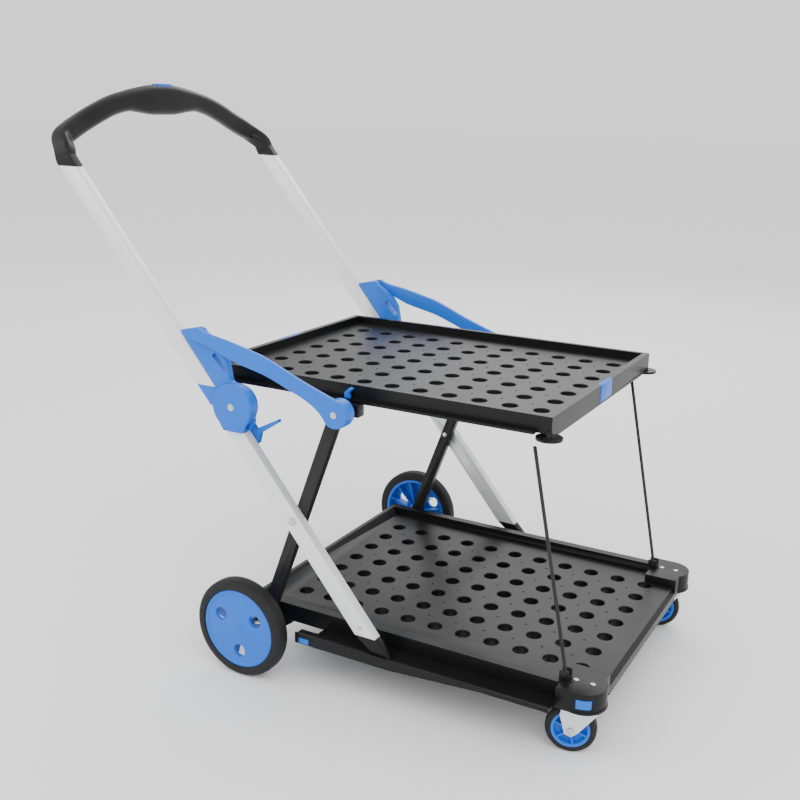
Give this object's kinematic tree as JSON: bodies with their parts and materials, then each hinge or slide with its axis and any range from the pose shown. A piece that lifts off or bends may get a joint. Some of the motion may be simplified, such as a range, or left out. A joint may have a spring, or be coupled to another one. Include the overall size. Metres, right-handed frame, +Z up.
{
  "type": "folding platform cart",
  "caption": "Folding two-level hand cart with a perforated tray above a perforated platform, large rear wheels, swivel casters and a tall arched handle.",
  "frame": {"origin": "centre of the footprint box, on the floor", "axes": "+X towards the caster end, +Y to the left, +Z up"},
  "size_m": [1.08, 0.683, 1.01],
  "materials": {
    "black_plastic": "moulded black polypropylene, satin with a fine texture",
    "blue_plastic": "bright blue moulded nylon, satin gloss",
    "aluminium": "satin anodised extrusion",
    "rubber": "black soft rubber tread",
    "zinc": "bright zinc plated pressed steel",
    "steel": "plain bright steel",
    "coated_steel": "black powder coated steel"
  },
  "bodies": {
    "base": {"platform": "black_plastic", "rear_axle": "steel", "left_caster_housing": "black_plastic", "left_stay_clamp": "coated_steel", "right_caster_housing": "black_plastic", "right_stay_clamp": "coated_steel"},
    "struts": {"left_strut": "coated_steel", "left_cross_pin": "steel", "left_top_pin": "steel", "right_strut": "coated_steel", "right_cross_pin": "steel", "right_top_pin": "steel"},
    "lower_frame": {"left_lower_tube": "aluminium", "left_foot_plug": "black_plastic", "left_lower_hinge": "blue_plastic", "left_hinge_pin": "steel", "right_lower_tube": "aluminium", "right_foot_plug": "black_plastic", "right_lower_hinge": "blue_plastic", "right_hinge_pin": "steel"},
    "upper_frame": {"handle": "black_plastic", "left_upper_tube": "aluminium", "left_upper_hinge": "blue_plastic", "right_upper_tube": "aluminium", "right_upper_hinge": "blue_plastic"},
    "shoes": {"left_tray_shoe": "black_plastic", "right_tray_shoe": "black_plastic"},
    "tray_body": {"tray": "black_plastic", "left_tray_hook": "blue_plastic", "right_tray_hook": "blue_plastic"},
    "front_clip": {"tray_clip_front": "blue_plastic"},
    "rear_clip": {"tray_clip_rear": "blue_plastic"},
    "grip_button": {"handle_button": "blue_plastic"},
    "left_link_arm": {"left_link": "blue_plastic"},
    "left_stay_rod": {"left_stay": "coated_steel"},
    "left_lever": {"left_release_lever": "blue_plastic"},
    "left_rear_wheel": {"left_rear_tyre": "rubber", "left_rear_rim": "blue_plastic"},
    "left_caster_swivel": {"left_caster_fork": "zinc", "left_caster_bolt": "steel"},
    "left_caster_wheel": {"left_caster_tyre": "rubber", "left_caster_rim": "blue_plastic"},
    "left_caster_release": {"left_caster_release_button": "blue_plastic"},
    "left_side_button": {"left_platform_button": "blue_plastic"},
    "right_link_arm": {"right_link": "blue_plastic"},
    "right_stay_rod": {"right_stay": "coated_steel"},
    "right_lever": {"right_release_lever": "blue_plastic"},
    "right_rear_wheel": {"right_rear_tyre": "rubber", "right_rear_rim": "blue_plastic"},
    "right_caster_swivel": {"right_caster_fork": "zinc", "right_caster_bolt": "steel"},
    "right_caster_wheel": {"right_caster_tyre": "rubber", "right_caster_rim": "blue_plastic"},
    "right_caster_release": {"right_caster_release_button": "blue_plastic"},
    "right_side_button": {"right_platform_button": "blue_plastic"}
  },
  "joints": [
    {"name": "fold", "type": "hinge", "parent": "base", "child": "struts", "pos_m": [-0.09955, 0, 0.09], "axis": [0, 1, 0], "range_deg": [0, 56]},
    {"name": "lower_frame_turn", "type": "hinge", "parent": "struts", "child": "lower_frame", "pos_m": [-0.00863, 0, 0.2986], "axis": [0, 1, 0], "range_deg": [-100.9, 0]},
    {"name": "upper_frame_turn", "type": "hinge", "parent": "lower_frame", "child": "upper_frame", "pos_m": [-0.12615, 0, 0.4833], "axis": [0, 1, 0], "range_deg": [0, 158.9]},
    {"name": "shoe_level", "type": "hinge", "parent": "struts", "child": "shoes", "pos_m": [0.08045, 0, 0.503], "axis": [0, 1, 0], "range_deg": [-56.1, 0]},
    {"name": "tray_slide", "type": "slide", "parent": "shoes", "child": "tray_body", "axis": [1, 0, 0], "range_m": [-0.2632, 0]},
    {"name": "left_link_turn", "type": "hinge", "parent": "struts", "child": "left_link_arm", "pos_m": [0.08045, 0.3, 0.503], "axis": [0, 1, 0], "range_deg": [-69.7, 0]},
    {"name": "left_stay_turn", "type": "hinge", "parent": "base", "child": "left_stay_rod", "pos_m": [0.46945, 0.242, 0.127], "axis": [0, 1, 0], "range_deg": [-76.3, 0]},
    {"name": "right_link_turn", "type": "hinge", "parent": "struts", "child": "right_link_arm", "pos_m": [0.08045, -0.3, 0.503], "axis": [0, 1, 0], "range_deg": [-69.7, 0]},
    {"name": "right_stay_turn", "type": "hinge", "parent": "base", "child": "right_stay_rod", "pos_m": [0.46945, -0.242, 0.127], "axis": [0, 1, 0], "range_deg": [-76.3, 0]},
    {"name": "left_rear_wheel_roll", "type": "hinge", "parent": "base", "child": "left_rear_wheel", "pos_m": [-0.09955, 0.3265, 0.09], "axis": [0, 1, 0], "continuous": true},
    {"name": "left_caster_turn", "type": "hinge", "parent": "base", "child": "left_caster_swivel", "pos_m": [0.50145, 0.244, 0.06], "axis": [0, 0, 1], "continuous": true},
    {"name": "left_caster_roll", "type": "hinge", "parent": "left_caster_swivel", "child": "left_caster_wheel", "pos_m": [0.486, 0.23986, 0.041], "axis": [-0.2588, 0.9659, 0], "continuous": true},
    {"name": "left_lever_pull", "type": "hinge", "parent": "lower_frame", "child": "left_lever", "pos_m": [-0.11155, 0.27, 0.44], "axis": [0, 1, 0], "range_deg": [-15, 0], "stiffness_Nm_per_rad": 0.5},
    {"name": "left_caster_release_push", "type": "slide", "parent": "base", "child": "left_caster_release", "axis": [0, -1, 0], "range_m": [0, 0.003], "stiffness_N_per_m": 500},
    {"name": "left_side_button_push", "type": "slide", "parent": "base", "child": "left_side_button", "axis": [0, -1, 0], "range_m": [0, 0.0025], "stiffness_N_per_m": 500},
    {"name": "right_rear_wheel_roll", "type": "hinge", "parent": "base", "child": "right_rear_wheel", "pos_m": [-0.09955, -0.3265, 0.09], "axis": [0, 1, 0], "continuous": true},
    {"name": "right_caster_turn", "type": "hinge", "parent": "base", "child": "right_caster_swivel", "pos_m": [0.50145, -0.244, 0.06], "axis": [0, 0, 1], "continuous": true},
    {"name": "right_caster_roll", "type": "hinge", "parent": "right_caster_swivel", "child": "right_caster_wheel", "pos_m": [0.486, -0.24814, 0.041], "axis": [-0.2588, 0.9659, 0], "continuous": true},
    {"name": "right_lever_pull", "type": "hinge", "parent": "lower_frame", "child": "right_lever", "pos_m": [-0.11155, -0.27, 0.44], "axis": [0, 1, 0], "range_deg": [-15, 0], "stiffness_Nm_per_rad": 0.5},
    {"name": "right_caster_release_push", "type": "slide", "parent": "base", "child": "right_caster_release", "axis": [0, 1, 0], "range_m": [0, 0.003], "stiffness_N_per_m": 500},
    {"name": "right_side_button_push", "type": "slide", "parent": "base", "child": "right_side_button", "axis": [0, 1, 0], "range_m": [0, 0.0025], "stiffness_N_per_m": 500},
    {"name": "handle_button_push", "type": "slide", "parent": "upper_frame", "child": "grip_button", "axis": [0, 0, -1], "range_m": [0, 0.004], "stiffness_N_per_m": 600},
    {"name": "front_clip_open", "type": "hinge", "parent": "tray_body", "child": "front_clip", "pos_m": [0.42445, 0, 0.5105], "axis": [0, 1, 0], "range_deg": [0, 15], "stiffness_Nm_per_rad": 0.3},
    {"name": "rear_clip_open", "type": "hinge", "parent": "tray_body", "child": "rear_clip", "pos_m": [-0.21955, 0, 0.5285], "axis": [0, 1, 0], "range_deg": [-15, 0], "stiffness_Nm_per_rad": 0.3}
  ],
  "couplings": [
    {"joint": "lower_frame_turn", "follows": "fold", "ratio": -1.7987},
    {"joint": "upper_frame_turn", "follows": "fold", "ratio": 2.8337},
    {"joint": "shoe_level", "follows": "fold", "ratio": -1},
    {"joint": "tray_slide", "follows": "fold", "m_per_rad": -0.26909},
    {"joint": "left_link_turn", "follows": "fold", "ratio": -1.2412},
    {"joint": "left_stay_turn", "follows": "fold", "ratio": -1.36},
    {"joint": "right_link_turn", "follows": "fold", "ratio": -1.2412},
    {"joint": "right_stay_turn", "follows": "fold", "ratio": -1.36}
  ]
}
